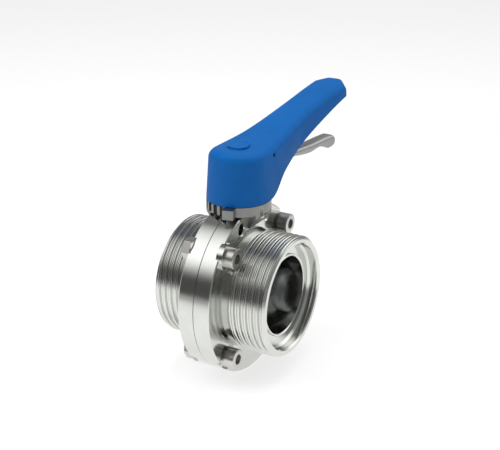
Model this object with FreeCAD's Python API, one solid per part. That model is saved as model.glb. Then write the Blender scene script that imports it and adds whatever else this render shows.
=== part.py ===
import FreeCAD, Part
import math
import os
from FreeCAD import Vector

# Threaded sanitary butterfly valve with a nominal bore of 50 mm and a locking pull handle.
# The origin is the middle of the disc: X runs along the pipe, Z up along the stem, and Y
# towards the grip of the closed valve. Sizes are in millimetres and degrees.

ORIGIN = Vector(0, 0, 0)
X = Vector(1, 0, 0)
Y = Vector(0, 1, 0)
Z = Vector(0, 0, 1)

# How far a cutting shape runs past what it cuts
cut_past = 1.0

# Body halves
bore_radius = 25.0
half_length = 39.5
flange_thickness = 11.0
flange_chamfer = 0.6
flange_edge_width = 7.2
top_flat_depth = 1.5

# Threaded ends, with the recess that takes the pipe liner
thread_radius = 39.0
thread_depth = 2.1
thread_relief = 2.0
thread_chamfer = 1.6
recess_wall = 5.1
recess_depth = 7.0
recess_chamfer = 0.8
lip_wall = 1.7
lip_height = 1.2
lip_to_collar_gap = 0.2

# Seat ring in its groove between the halves
seal_thickness = 6.0
seal_half_width = 9.0
seal_clearance = 0.05

# Stem, bushes and stem seals
stem_radius = 7.0
stem_end_gap = 0.3
bush_wall = 2.95
running_clearance = 0.06
housing_clearance = 0.04
pocket_floor_thickness = 6.0
thrust_disc_thickness = 1.0
o_ring_thickness = 2.8
o_ring_sides = 8
stack_gap = 0.1

# Disc
disc_clearance = 0.3
disc_edge_half_thickness = 1.7
disc_middle_half_thickness = 4.6
disc_dome_radius = 13.0
disc_rim_width = 1.0
disc_hub_radius = 9.0

# Bolts through both halves
bolt_angle = 45.0
bolt_count = 4
bolt_radius = 4.0
bolt_hole_clearance = 0.2
bolt_head_radius = 6.5
bolt_head_height = 8.0
bolt_head_chamfer = 0.6
bolt_socket_width = 6.0
bolt_socket_depth = 4.5
bolt_tip_length = 2.0
spot_face_radius = 8.8
spot_face_depth = 2.0
spring_washer_radius = 6.4
spring_washer_thickness = 2.0
spring_washer_gap = 1.6
flat_washer_radius = 8.0
flat_washer_thickness = 1.6
nut_width = 13.0
nut_height = 6.5
thread_fit = 0.02

# Bracket holes beside the neck
bracket_hole_radius = 3.3
bracket_hole_offset = 15.3
bracket_hole_neck_gap = 2.6
bracket_countersink = 0.9

# Notched plate on the neck
plate_thickness = 6.0
plate_radius = 20.4
plate_hole_clearance = 0.4
notch_pitch = 15.0
notch_first_angle = 90.0
notch_last_angle = 270.0
notch_root_radius = 17.5
notch_width = 3.2
lug_radius = 25.6
lug_width = 7.0
leg_half_width = 10.0
leg_top_reach = 19.8
leg_foot_reach = 13.5
leg_depth = 9.0
leg_clearance = 0.05
set_screw_radius = 2.5
set_screw_drop = 2.4
set_screw_sink = 1.0
set_screw_socket_width = 2.5
set_screw_socket_depth = 2.4

# How far the handle's drawn views run past its ends, so that they cut each other cleanly
view_past = 12.0

# Square drive from the stem to the handle
drive_width = 10.0
drive_length = 20.0
drive_clearance = 0.1
insert_radius = 10.0
insert_flat_width = 18.0

# Handle moulding
handle_gap = 0.3
hub_radius = 20.4
hub_height = 32.7
handle_draft = 3.7
handle_wall = 2.8
handle_top_wall = 3.0
handle_crown_radius = 70.0
handle_edge_fillet = 5.5
handle_reach = 137.0
tip_chamfer = 10.0
tip_half_width = 7.0
arm_end_half_width = 15.8
arm_neck_reach = 27.0
arm_neck_half_width = 18.5
arm_waist_reach = 57.0
arm_waist_half_width = 15.7
arm_grip_reach = 82.0
arm_grip_half_width = 14.9
boss_wall = 2.5
web_thickness = 2.0
well_wall = 2.0
rib_thickness = 2.0

# Handle screw, washer and cap on the stem axis
screw_radius = 2.95
screw_length = 14.0
screw_head_radius = 5.0
screw_head_height = 6.0
screw_head_chamfer = 0.5
screw_socket_width = 5.0
screw_socket_depth = 3.0
screw_hole_clearance = 0.35
tapped_hole_spare = 1.0
washer_radius = 6.0
washer_thickness = 1.4
cap_radius = 6.25
cap_thickness = 3.0
cap_stand = 0.9
cap_clearance = 0.05
cap_chamfer = 0.4

# Trigger, its pin and its return spring
pivot_reach = 12.2
pivot_rise = 26.5
pin_radius = 1.5
pin_clearance = 0.05
pin_sink = 0.9
eye_radius = 3.2
eye_half_width = 5.0
pin_boss_radius = 3.4
lever_half_width = 5.2
lever_reach = 127.5
tooth_half_width = 1.2
tooth_root_gap = 0.5
tooth_depth = 5.2
shank_depth = 6.0
shank_plate_gap = 0.5
shank_boss_gap = 2.1
shank_knee_drop = 6.0
spring_radius = 3.6
spring_wire_radius = 0.5
spring_wire_sides = 6
spring_reach = 34.0
spring_turns = 6

# Radii and heights that follow from the sizes above
recess_radius = thread_radius - recess_wall
seal_outer_radius = bore_radius + seal_thickness
bolt_circle_radius = thread_radius + spot_face_radius
flange_radius = bolt_circle_radius + flange_edge_width
bracket_hole_height = thread_radius + bracket_hole_radius + bracket_hole_neck_gap
pocket_depth = flange_radius - pocket_floor_thickness
stem_end_height = pocket_depth - thrust_disc_thickness - stem_end_gap
plate_seat_height = flange_radius - top_flat_depth
plate_top = plate_seat_height + plate_thickness
handle_bottom = plate_top + handle_gap
handle_top = handle_bottom + hub_height
drive_bottom = handle_bottom
drive_top = drive_bottom + drive_length
insert_top = drive_top + stack_gap
web_bottom = insert_top + stack_gap
web_top = web_bottom + web_thickness
plan_top = handle_top + view_past * 2
pivot_height = handle_bottom + pivot_rise
boss_radius = insert_radius + boss_wall
shank_inner = notch_root_radius + tooth_root_gap
shank_outer = shank_inner + shank_depth
shank_bottom = plate_top + shank_plate_gap
bush_outer_radius = stem_radius + running_clearance + bush_wall
stem_pocket_radius = bush_outer_radius + housing_clearance
disc_radius = bore_radius - disc_clearance


def cylinder(radius, low, high, axis=Z, centre=ORIGIN):
    start = centre + Vector(axis) * low
    return Part.makeCylinder(radius, high - low, start, axis)


def block(low, high):
    size = Vector(*high) - Vector(*low)
    return Part.makeBox(size.x, size.y, size.z, Vector(*low))


def revolve_about_x(points):
    """Turn a closed outline of (x, radius) points about the pipe axis."""
    wire = Part.makePolygon([Vector(x, 0, radius) for x, radius in points + points[:1]])
    return Part.Face(wire).revolve(ORIGIN, X, 360)


def prism(points, low, high, axis=Z, centre=ORIGIN):
    """Extrude a closed outline, given in a plane normal to the axis, between two stations."""
    offset = centre + Vector(axis) * low
    wire = Part.makePolygon([offset + point for point in points + points[:1]])
    return Part.Face(wire).extrude(Vector(axis) * (high - low))


def polygon(sides, corner_radius, across, along):
    """Corners of a regular polygon in the plane of two directions."""
    angles = [math.radians(360 * (step + 0.5) / sides) for step in range(sides)]
    return [across * (corner_radius * math.cos(a)) + along * (corner_radius * math.sin(a)) for a in angles]


def hexagon(width, across, along):
    """Corners of a hexagon with this width across flats."""
    return polygon(6, width / math.sqrt(3), across, along)


def curve(points, start=None, finish=None):
    """A smooth edge through points, with the end directions where they are given."""
    spline = Part.BSplineCurve()
    if start and finish:
        spline.interpolate(Points=points, InitialTangent=start, FinalTangent=finish)
    else:
        spline.interpolate(Points=points)
    return spline.toShape()


def line(first, second):
    return Part.LineSegment(first, second).toShape()


def turned(shape, angle, axis=Z, centre=ORIGIN):
    copy = shape.copy()
    copy.rotate(centre, axis, angle)
    return copy


def moved(shape, offset):
    copy = shape.copy()
    copy.translate(offset)
    return copy


def joined(shapes):
    return shapes[0].fuse(shapes[1:]).removeSplitter()


def bolt_places():
    """Bolt axes, as points of the plane of the disc."""
    places = []
    for index in range(bolt_count):
        angle = math.radians(bolt_angle + index * 360 / bolt_count)
        place = Vector(0, bolt_circle_radius * math.cos(angle), bolt_circle_radius * math.sin(angle))
        places.append(place)
    return places


def at_bolts(shape):
    return Part.makeCompound([moved(shape, place) for place in bolt_places()])


def body_blank():
    """Flange, neck, threaded end and liner recess of one half, turned about the pipe."""
    neck_radius = thread_radius - thread_depth
    recess_floor = half_length - recess_depth
    lip_radius = bore_radius + lip_wall
    recess_corner = lip_height + lip_to_collar_gap
    groove_radius = seal_outer_radius + seal_clearance
    groove_end = seal_half_width + seal_clearance
    return revolve_about_x([
        (0, flange_radius),
        (flange_thickness - flange_chamfer, flange_radius),
        (flange_thickness, flange_radius - flange_chamfer),
        (flange_thickness, neck_radius),
        (flange_thickness + thread_relief, neck_radius),
        (flange_thickness + thread_relief + thread_depth, thread_radius),
        (half_length - thread_chamfer, thread_radius),
        (half_length, thread_radius - thread_chamfer),
        (half_length, recess_radius + recess_chamfer),
        (half_length - recess_chamfer, recess_radius),
        (recess_floor + recess_corner, recess_radius),
        (recess_floor, recess_radius - recess_corner),
        (recess_floor, lip_radius),
        (recess_floor + lip_height, lip_radius),
        (recess_floor + lip_height, bore_radius),
        (groove_end, bore_radius),
        (groove_end, groove_radius),
        (0, groove_radius),
    ])


def body_half():
    """The half on the +X side; the other half is the same piece turned about the stem."""
    half = body_blank()
    cuts = [
        cylinder(stem_pocket_radius, -pocket_depth, flange_radius + cut_past),
        block(
            (-cut_past, -flange_radius, plate_seat_height),
            (flange_thickness + cut_past, flange_radius, flange_radius + cut_past),
        ),
    ]
    for place in bolt_places():
        hole_radius = bolt_radius + bolt_hole_clearance
        cuts.append(cylinder(hole_radius, -cut_past, flange_thickness + cut_past, X, place))
        seat = flange_thickness - spot_face_depth
        cuts.append(cylinder(spot_face_radius, seat, flange_thickness + thread_relief, X, place))
    for side in (-1, 1):
        place = Vector(0, side * bracket_hole_offset, bracket_hole_height)
        cuts.append(cylinder(bracket_hole_radius, -cut_past, flange_thickness + cut_past, X, place))
        wide = bracket_hole_radius + bracket_countersink
        start = place + X * (flange_thickness - bracket_countersink)
        cuts.append(Part.makeCone(bracket_hole_radius, wide, bracket_countersink, start, X))
    return half.cut(cuts)


def front_body():
    return body_half()


def rear_body():
    return turned(body_half(), 180)


def seat_seal():
    width = seal_half_width
    ring = revolve_about_x([
        (-width, bore_radius),
        (width, bore_radius),
        (width, seal_outer_radius),
        (-width, seal_outer_radius),
    ])
    return ring.cut(cylinder(stem_radius + running_clearance, -flange_radius, flange_radius))


def bush(low, high):
    outer = cylinder(bush_outer_radius, low, high)
    return outer.cut(cylinder(stem_radius + running_clearance, low - cut_past, high + cut_past))


def o_ring_far_side():
    return seal_outer_radius + seal_clearance + stack_gap + o_ring_thickness


def upper_bush():
    return bush(o_ring_far_side() + stack_gap, plate_seat_height - stack_gap)


def lower_bush():
    return bush(-pocket_depth + thrust_disc_thickness, -o_ring_far_side() - stack_gap)


def stem_o_rings():
    """One ring on each side of the disc, with a many-sided section in place of a round one."""
    section = o_ring_thickness / 2
    ring_radius = stem_radius + running_clearance + section
    outline = polygon(o_ring_sides, section, X, Z)
    rings = []
    for side in (-1, 1):
        centre = Vector(ring_radius, 0, side * (o_ring_far_side() - section))
        wire = Part.makePolygon([centre + point for point in outline + outline[:1]])
        rings.append(Part.Face(wire).revolve(ORIGIN, Z, 360))
    return Part.makeCompound(rings)


def stem_thrust_disc():
    return cylinder(bush_outer_radius, -pocket_depth, -pocket_depth + thrust_disc_thickness)


def socket_screws():
    seat = flange_thickness - spot_face_depth + spring_washer_thickness
    nut_face = flange_thickness - spot_face_depth + flat_washer_thickness + nut_height
    head_top = seat + bolt_head_height
    head = cylinder(bolt_head_radius, seat, head_top, X)
    head = head.makeChamfer(bolt_head_chamfer, [max(head.Edges, key=lambda edge: edge.CenterOfMass.x)])
    shank = cylinder(bolt_radius, -nut_face - bolt_tip_length, seat + bolt_head_chamfer, X)
    socket_bottom = head_top - bolt_socket_depth
    socket = prism(hexagon(bolt_socket_width, Y, Z), socket_bottom, head_top + cut_past, X)
    return at_bolts(joined([head, shank]).cut(socket))


def spring_washers():
    low = flange_thickness - spot_face_depth
    high = low + spring_washer_thickness
    ring = cylinder(spring_washer_radius, low, high, X)
    hole = cylinder(bolt_radius + bolt_hole_clearance, low - cut_past, high + cut_past, X)
    half = spring_washer_gap / 2
    gap = block((low - cut_past, 0, -half), (high + cut_past, spring_washer_radius + cut_past, half))
    return at_bolts(ring.cut([hole, gap]))


def nut_washers():
    seat = -flange_thickness + spot_face_depth
    ring = cylinder(flat_washer_radius, seat - flat_washer_thickness, seat, X)
    hole = cylinder(bolt_radius + bolt_hole_clearance, -half_length, 0, X)
    return at_bolts(ring.cut(hole))


def hex_nuts():
    seat = -flange_thickness + spot_face_depth - flat_washer_thickness
    nut = prism(hexagon(nut_width, Y, Z), seat - nut_height, seat, X)
    corner = nut_width / math.sqrt(3)
    flare = corner + nut_height
    crown = Part.makeCone(nut_width / 2, flare, flare - nut_width / 2, Vector(seat - nut_height, 0, 0), X)
    hole = cylinder(bolt_radius + thread_fit, seat - nut_height - cut_past, seat + cut_past, X)
    return at_bolts(nut.common(crown).cut(hole))


def notch_angles():
    count = round((notch_last_angle - notch_first_angle) / notch_pitch) + 1
    return [notch_first_angle + index * notch_pitch for index in range(count)]


def plate_leg():
    """Wedge foot that grips the front face of the flange pair, with its set screw hole."""
    inner = flange_thickness + leg_clearance
    outline = [
        Vector(inner, 0, 0),
        Vector(inner, 0, -leg_depth),
        Vector(leg_foot_reach, 0, -leg_depth),
        Vector(leg_top_reach, 0, 0),
    ]
    start = Z * plate_seat_height
    wedge = prism(outline, -leg_half_width, leg_half_width, Y, start)
    skin = cylinder(plate_radius, 0, plate_top)
    return wedge.common(skin)


def notch_plate():
    low = plate_seat_height
    high = plate_top
    plate = cylinder(plate_radius, low, high)
    lugs = []
    for angle in (notch_first_angle - notch_pitch, notch_last_angle + notch_pitch):
        half = lug_width / 2
        lugs.append(turned(block((0, -half, low), (lug_radius, half, high)), angle))
    legs = [plate_leg(), turned(plate_leg(), 180)]
    plate = joined([plate] + lugs + legs)
    half = notch_width / 2
    notch = block(
        (notch_root_radius, -half, low - cut_past),
        (plate_radius + cut_past, half, high + cut_past),
    )
    cuts = [turned(notch, angle) for angle in notch_angles()]
    cuts.append(cylinder(stem_radius + plate_hole_clearance, low - cut_past, high + cut_past))
    screw_line = Vector(0, 0, low - set_screw_drop)
    cuts.append(cylinder(set_screw_radius + thread_fit, -plate_radius, plate_radius, X, screw_line))
    return plate.cut(cuts)


def plate_set_screws():
    """One short grub screw in each leg, with its tip on the flange face."""
    slope = (leg_top_reach - leg_foot_reach) / leg_depth
    leg_face = leg_top_reach - slope * set_screw_drop
    head = leg_face - set_screw_sink
    screw = cylinder(set_screw_radius, flange_thickness, head, X)
    socket_bottom = head - set_screw_socket_depth
    socket = prism(hexagon(set_screw_socket_width, Y, Z), socket_bottom, head + cut_past, X)
    screw = moved(screw.cut(socket), Z * (plate_seat_height - set_screw_drop))
    return Part.makeCompound([screw, turned(screw, 180)])


def disc_blank():
    """Double domed disc, thin at its sealing edge."""
    edge = disc_edge_half_thickness
    middle = disc_middle_half_thickness
    return revolve_about_x([
        (-middle, 0),
        (-middle, disc_dome_radius),
        (-edge, disc_radius - disc_rim_width),
        (-edge, disc_radius + cut_past),
        (edge, disc_radius + cut_past),
        (edge, disc_radius - disc_rim_width),
        (middle, disc_dome_radius),
        (middle, 0),
    ])


def disc_stem():
    sphere = Part.makeSphere(disc_radius)
    hub = cylinder(disc_hub_radius, -disc_radius, disc_radius)
    disc = joined([disc_blank(), hub]).common(sphere)
    stem = cylinder(stem_radius, -stem_end_height, drive_top)
    half = drive_width / 2
    square = block((-half, -half, drive_bottom - cut_past), (half, half, drive_top + cut_past))
    flats = cylinder(stem_radius + cut_past, drive_bottom, drive_top + cut_past).cut(square)
    hole_bottom = drive_top - screw_length - tapped_hole_spare
    tapped_hole = cylinder(screw_radius + thread_fit, hole_bottom, drive_top + cut_past)
    return joined([disc, stem]).cut([flats, tapped_hole])


def insert_blank(clearance, low, high):
    """Round piece with four flats, for the insert and for its pocket in the moulding."""
    half = insert_flat_width / 2 + clearance
    flats = block((-half, -half, low), (half, half, high))
    return cylinder(insert_radius + clearance, low, high).common(flats)


def hub_insert():
    half = drive_width / 2 + drive_clearance
    socket = block((-half, -half, 0), (half, half, handle_top))
    return insert_blank(0, handle_bottom, insert_top).cut(socket)


def handle_plan(inset, height):
    """Outline of the moulding at one height, drawn in by the wall and by the draft."""
    shrink = inset + (height - handle_bottom) * math.tan(math.radians(handle_draft))
    stations = [
        (0, hub_radius),
        (arm_neck_reach, arm_neck_half_width),
        (arm_waist_reach, arm_waist_half_width),
        (arm_grip_reach, arm_grip_half_width),
        (handle_reach - tip_chamfer, arm_end_half_width),
    ]
    right = [Vector(width - shrink, reach, height) for reach, width in stations]
    left = [Vector(-point.x, point.y, point.z) for point in right]
    tip_right = Vector(tip_half_width - shrink / 2, handle_reach - inset, height)
    tip_left = Vector(-tip_right.x, tip_right.y, height)
    front = Vector(0, -right[0].x, height)
    heading = Vector(0, 1, 0)
    return Part.Wire([
        Part.Arc(left[0], front, right[0]).toShape(),
        curve(right, heading, heading),
        line(right[-1], tip_right),
        line(tip_right, tip_left),
        line(tip_left, left[-1]),
        curve(left, heading, heading),
    ])


def handle_top_points(offset, drop):
    """The back of the handle in side view, at an offset from its middle, front to tip."""
    crown = handle_crown_radius - math.sqrt(handle_crown_radius ** 2 - offset ** 2)
    stations = [
        (-hub_radius - view_past, 0.0),
        (0, 0.0),
        (30, 1.7),
        (57, 6.0),
        (90, 11.0),
        (handle_reach - 19, 14.4),
        (handle_reach + view_past, 17.0),
    ]
    return [Vector(offset, reach, handle_top + rise - crown - drop) for reach, rise in stations]


def handle_under_points(offset):
    """The lower edge of the side walls in side view, from the hub to the tip."""
    stations = [
        (3, 0.0),
        (14.3, 3.1),
        (25.2, 10.3),
        (34.5, 14.2),
        (53.8, 20.3),
        (81.3, 27.2),
        (handle_reach - 27, 34.6),
        (handle_reach + view_past, 40.5),
    ]
    return [Vector(offset, reach, handle_bottom + rise) for reach, rise in stations]


def handle_side(offset):
    """Closed side view of the moulding at an offset from its middle."""
    top = handle_top_points(offset, 0)
    under = handle_under_points(offset)
    start = Vector(offset, top[0].y, handle_bottom)
    return Part.Wire([
        line(start, under[0]),
        curve(under),
        line(under[-1], top[-1]),
        curve(top[::-1]),
        line(top[0], start),
    ])


def cavity_side(offset):
    """Closed side view of the hollow, which runs out below the moulding."""
    ceiling = handle_top_points(offset, handle_top_wall)
    base = handle_bottom - cut_past
    start = Vector(offset, ceiling[0].y, base)
    finish = Vector(offset, ceiling[-1].y, base)
    return Part.Wire([
        line(start, finish),
        line(finish, ceiling[-1]),
        curve(ceiling[::-1]),
        line(ceiling[0], start),
    ])


def crowned(side_view):
    """Solid through one side view on the middle plane and two beyond the side walls."""
    edge = hub_radius + cut_past
    return Part.makeLoft([side_view(-edge), side_view(0), side_view(edge)], True, False)


def handle_outer():
    base = handle_bottom - cut_past
    plan = Part.makeLoft([handle_plan(0, base), handle_plan(0, plan_top)], True, True)
    return plan.common(crowned(handle_side)).Solids[0]


def handle_cavity():
    """Hollow of the moulding, open along the whole underside."""
    base = handle_bottom - cut_past
    plan = Part.makeLoft([handle_plan(handle_wall, base), handle_plan(handle_wall, plan_top)], True, True)
    return plan.common(crowned(cavity_side)).Solids[0]


def looks_up(face):
    first_u, last_u, first_v, last_v = face.ParameterRange
    return face.normalAt((first_u + last_u) / 2, (first_v + last_v) / 2).z > 0.9


def handle_shell():
    outer = handle_outer()
    roof = [face for face in outer.Faces if looks_up(face)][0]
    outer = outer.makeFillet(handle_edge_fillet, roof.OuterWire.Edges)
    cavity = handle_cavity()
    boss = cylinder(boss_radius, handle_bottom, web_top)
    well_radius = cap_radius + cap_clearance
    well = cylinder(well_radius + well_wall, web_top, handle_top - handle_top_wall / 2)
    pieces = [outer.cut(cavity), boss, well]
    for angle in (180, 225, 270, 315, 0):
        rib = block((0, -rib_thickness / 2, handle_bottom), (hub_radius, rib_thickness / 2, web_top))
        pieces.append(turned(rib, angle).common(cavity))
    pivot = Vector(0, pivot_reach, pivot_height)
    inner_end = eye_half_width + handle_gap
    for low, high in ((-hub_radius, -inner_end), (inner_end, hub_radius)):
        pieces.append(cylinder(pin_boss_radius, low, high, X, pivot).common(cavity))
    shell = pieces[0].fuse(pieces[1:])
    cuts = [
        insert_blank(housing_clearance, handle_bottom - cut_past, insert_top),
        cylinder(screw_radius + screw_hole_clearance, insert_top, handle_top),
        cylinder(well_radius, web_top, handle_top + cut_past),
        cylinder(pin_radius + pin_clearance, -hub_radius, hub_radius, X, pivot),
    ]
    return shell.cut(cuts)


def handle_washer():
    ring = cylinder(washer_radius, web_top, web_top + washer_thickness)
    return ring.cut(cylinder(screw_radius + screw_hole_clearance, web_bottom, handle_top))


def handle_screw():
    seat = web_top + washer_thickness
    head_top = seat + screw_head_height
    head = cylinder(screw_head_radius, seat, head_top)
    head = head.makeChamfer(screw_head_chamfer, [max(head.Edges, key=lambda edge: edge.CenterOfMass.z)])
    shank = cylinder(screw_radius, drive_top - screw_length, seat + screw_head_chamfer)
    socket = prism(hexagon(screw_socket_width, X, Y), head_top - screw_socket_depth, head_top + cut_past)
    return joined([head, shank]).cut(socket)


def handle_cap():
    top = handle_top + cap_stand
    cap = cylinder(cap_radius, top - cap_thickness, top)
    return cap.makeChamfer(cap_chamfer, [max(cap.Edges, key=lambda edge: edge.CenterOfMass.z)])


def trigger_pin():
    draft = math.tan(math.radians(handle_draft)) * (pivot_height - handle_bottom)
    half = hub_radius - draft - pin_sink
    return cylinder(pin_radius, -half, half, X, Vector(0, pivot_reach, pivot_height))


def lever_back_points():
    """Upper edge of the trigger in side view, from the eye to the tip."""
    stations = [
        (pivot_reach + eye_radius, 0.6),
        (20, 5.3),
        (28, 9.1),
        (40, 11.1),
        (63, 12.7),
        (92, 15.5),
        (112, 16.4),
        (lever_reach - 5, 17.1),
    ]
    return [Vector(0, reach, pivot_height - drop) for reach, drop in stations]


def lever_face_points():
    """Lower edge of the trigger in side view, from the tip to the shank."""
    stations = [
        (lever_reach - 0.6, 24.5),
        (lever_reach - 6, 25.4),
        (lever_reach - 13, 24.5),
        (lever_reach - 20.5, 21.3),
        (92, 20.7),
        (63, 16.9),
        (42, 15.9),
        (30, 17.7),
        (shank_outer, 21.8),
    ]
    return [Vector(0, reach, pivot_height - drop) for reach, drop in stations]


def lever_profile():
    """Side view of the trigger without its eye and its tooth."""
    back = lever_back_points()
    face = lever_face_points()
    nose = Vector(0, lever_reach, (back[-1].z + face[0].z) / 2)
    heel = Vector(0, shank_outer, shank_bottom)
    toe = Vector(0, shank_inner, shank_bottom)
    knee = Vector(0, boss_radius + shank_boss_gap, web_bottom - shank_knee_drop)
    throat = Vector(0, pivot_reach + eye_radius / 2, pivot_height - eye_radius * 0.8)
    edges = [
        curve(back),
        Part.Arc(back[-1], nose, face[0]).toShape(),
        curve(face),
        line(face[-1], heel),
        line(heel, toe),
        line(toe, knee),
        line(knee, throat),
        line(throat, back[0]),
    ]
    return Part.Face(Part.Wire(edges))


def lever_slab(half_width):
    return moved(lever_profile(), X * -half_width).extrude(X * (2 * half_width))


def trigger_lever():
    pivot = Vector(0, pivot_reach, pivot_height)
    slab = lever_slab(lever_half_width)
    eye = cylinder(eye_radius, -eye_half_width, eye_half_width, X, pivot)
    tooth = block(
        (-tooth_half_width, shank_inner, plate_top - tooth_depth),
        (tooth_half_width, shank_outer, shank_bottom + tooth_half_width),
    )
    end = lever_reach - lever_half_width
    rounding = joined([
        block((-lever_half_width, -hub_radius, 0), (lever_half_width, end, handle_top)),
        cylinder(lever_half_width, 0, handle_top, Z, Vector(0, end, 0)),
    ])
    lever = joined([slab.common(rounding), eye, tooth])
    return lever.cut(cylinder(pin_radius + pin_clearance, -hub_radius, hub_radius, X, pivot))


def height_at(points, reach):
    """Height at which the smooth edge through side-view points passes a reach."""
    offset = points[0].x
    upright = line(Vector(offset, reach, 0), Vector(offset, reach, plan_top))
    return curve(points).distToShape(upright)[1][0][0].z


def trigger_spring():
    """Coil between the trigger's back and the ceiling of the moulding."""
    near = spring_reach - spring_radius - spring_wire_radius
    low = height_at(lever_back_points(), near) + stack_gap
    high = height_at(handle_top_points(spring_radius, handle_top_wall), near) - stack_gap
    pitch = (high - low - 2 * spring_wire_radius) / spring_turns
    helix = Part.makeHelix(pitch, pitch * spring_turns, spring_radius)
    corners = polygon(spring_wire_sides, spring_wire_radius, X, Z)
    outline = [X * spring_radius + corner for corner in corners]
    section = Part.makePolygon(outline + outline[:1])
    wire = Part.Wire(helix).makePipeShell([section], True, True)
    return moved(wire, Vector(0, spring_reach, low + spring_wire_radius))


NODES = {
    "front_body": front_body,
    "rear_body": rear_body,
    "seat_seal": seat_seal,
    "upper_bush": upper_bush,
    "lower_bush": lower_bush,
    "stem_o_rings": stem_o_rings,
    "stem_thrust_disc": stem_thrust_disc,
    "socket_screws": socket_screws,
    "spring_washers": spring_washers,
    "nut_washers": nut_washers,
    "hex_nuts": hex_nuts,
    "notch_plate": notch_plate,
    "plate_set_screws": plate_set_screws,
    "disc_stem": disc_stem,
    "hub_insert": hub_insert,
    "handle_shell": handle_shell,
    "handle_washer": handle_washer,
    "handle_screw": handle_screw,
    "handle_cap": handle_cap,
    "trigger_pin": trigger_pin,
    "trigger_lever": trigger_lever,
    "trigger_spring": trigger_spring,
}

os.makedirs("parts", exist_ok=True)
for name, build in NODES.items():
    shape = build()
    shape.exportStep("parts/" + name + ".step")
    print(name, len(shape.Solids), round(shape.Volume, 1), shape.isValid())
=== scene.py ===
import math

import bpy
from bpy.props import FloatProperty, FloatVectorProperty, IntProperty, PointerProperty
from bpy.types import Operator, Panel, PropertyGroup
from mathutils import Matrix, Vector


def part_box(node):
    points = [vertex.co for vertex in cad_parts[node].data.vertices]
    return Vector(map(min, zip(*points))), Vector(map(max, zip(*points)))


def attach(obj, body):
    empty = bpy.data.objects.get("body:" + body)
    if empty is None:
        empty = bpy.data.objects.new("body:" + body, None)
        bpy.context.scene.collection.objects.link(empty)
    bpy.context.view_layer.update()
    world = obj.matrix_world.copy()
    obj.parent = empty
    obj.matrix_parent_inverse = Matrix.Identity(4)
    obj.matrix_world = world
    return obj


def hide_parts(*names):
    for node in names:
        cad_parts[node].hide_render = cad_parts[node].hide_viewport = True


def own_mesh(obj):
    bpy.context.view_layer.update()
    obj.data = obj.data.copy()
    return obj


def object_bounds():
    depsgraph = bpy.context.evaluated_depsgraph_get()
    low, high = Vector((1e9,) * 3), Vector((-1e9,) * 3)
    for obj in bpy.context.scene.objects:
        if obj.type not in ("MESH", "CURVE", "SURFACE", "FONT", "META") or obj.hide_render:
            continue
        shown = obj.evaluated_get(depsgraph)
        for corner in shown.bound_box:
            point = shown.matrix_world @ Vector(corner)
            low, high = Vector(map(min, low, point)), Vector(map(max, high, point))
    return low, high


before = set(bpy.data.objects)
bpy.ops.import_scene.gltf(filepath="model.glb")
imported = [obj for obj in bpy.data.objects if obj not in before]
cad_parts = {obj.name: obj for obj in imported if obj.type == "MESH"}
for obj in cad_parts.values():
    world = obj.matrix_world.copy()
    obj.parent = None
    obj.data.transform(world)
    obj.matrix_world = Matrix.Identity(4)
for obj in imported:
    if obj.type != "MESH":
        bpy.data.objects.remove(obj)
CAD_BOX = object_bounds()

bl_info = {
    "name": "Threaded butterfly valve",
    "version": (1, 0, 0),
    "blender": (4, 5, 0),
    "location": "3D View > Sidebar > Valve",
    "description": "Builds the looks of a threaded butterfly valve with a locking pull handle",
    "category": "Object",
}

MM = 0.001
FULL_TURN = 2 * math.pi
ORIGIN = Vector((0, 0, 0))
PIPE = Vector((1, 0, 0))
STEM = Vector((0, 0, 1))
BODY = "valve_body"
HANDLE = "disc_and_handle"
TRIGGER = "trigger"
# Edges of the largest strip that a run of cuts leaves open
MOST_STRIP_EDGES = 12
# Where the steel mirrors the soft boxes and the dark side: angle round the stem from the front, and rise
KEY_PLACE = (-46, 47)
BACK_PLACE = (146, 28)
DARK_PLACE = (-28, 12)
KEY_DISTANCE = 1.3
# Rise in degrees over which the key box fades in, and the evenly bright middle of every box
KEY_FADE = (14, 40)
BOX_CORE = 3
# Reach from the stem, in metres, over which the floor's painted glow fades, and its two levels: a painted
# pool of light near the valve and painted dark far off, seen only in the steel's reflections
FLOOR_FADE = (0.18, 0.62)
FLOOR_PAINTED_GLOW = (1.1, 0.1)
# Share of plain white in the floor, as the camera and the steel see it. The rest takes the shadow
FLOOR_WHITE = 0.72
FLOOR_RADIUS = 4.0
# The floor lies this far under the valve, in metres, so that the two don't share a surface
FLOOR_GAP = 0.0002
SENSOR_WIDTH = 36
# Reach and height of the trigger's back, in millimetres, faded in at the handle and run out past the tip
TRIGGER_BACK = ((42, 79), (50, 74.6), (63, 73.6), (92, 70.8), (112, 69.9), (122.5, 69.2), (130, 68.6))


def length(label, about, millimetres):
    return FloatProperty(name=label, description=about, default=millimetres * MM, unit="LENGTH")


def shade(label, about, colour):
    return FloatVectorProperty(name=label, description=about, default=colour, subtype="COLOR", min=0, max=1)


def plain_number(label, about, value):
    return FloatProperty(name=label, description=about, default=value)


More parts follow.
